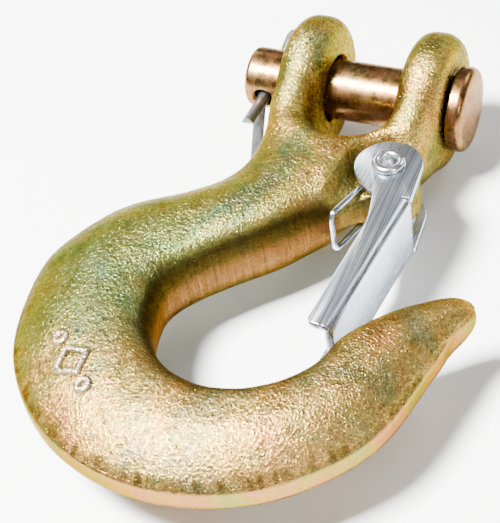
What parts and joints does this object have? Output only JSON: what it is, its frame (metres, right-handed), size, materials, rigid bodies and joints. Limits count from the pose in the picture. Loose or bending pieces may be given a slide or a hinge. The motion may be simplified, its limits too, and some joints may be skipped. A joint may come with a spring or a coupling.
{
  "type": "clevis slip hook",
  "caption": "Forged clevis slip hook for a safety chain, with a headed clevis pin held by a split pin and a spring-closed sheet-steel safety latch across its throat.",
  "frame": {"origin": "middle of the clevis pin, midway between the ears, where a chain link sits on it", "axes": "+Y up the shank towards the clevis, +X along the clevis pin towards its head, +Z square to the hook's flat sides, away from the surface it lies on"},
  "size_m": [0.0725, 0.1074, 0.0262],
  "materials": {
    "forged_zinc_yellow": "drop-forged steel, electroplated zinc with a yellow iridescent chromate",
    "turned_zinc_yellow": "turned steel, yellow zinc",
    "dark_wire": "dull half-round steel wire",
    "bright_zinc_sheet": "pressed steel sheet, bright zinc",
    "bright_rivet": "rolled steel, bright zinc",
    "spring_wire": "drawn spring steel wire"
  },
  "bodies": {
    "hook": {"hook_body": "forged_zinc_yellow", "latch_rivet": "bright_rivet", "latch_spring": "spring_wire"},
    "pin": {"clevis_pin": "turned_zinc_yellow", "cotter_pin": "dark_wire"},
    "latch": {"latch": "bright_zinc_sheet"}
  },
  "joints": [
    {"name": "latch_swing", "type": "hinge", "parent": "hook", "child": "latch", "pos_m": [0.0116, -0.024, 0], "axis": [0, 0, 1], "range_deg": [-38, 0], "stiffness_Nm_per_rad": 0.05, "springref_deg": 20.05, "deforming": ["latch_spring"]},
    {"name": "pin_turn", "type": "hinge", "parent": "hook", "child": "pin", "pos_m": [0, 0, 0], "axis": [1, 0, 0], "continuous": true}
  ]
}
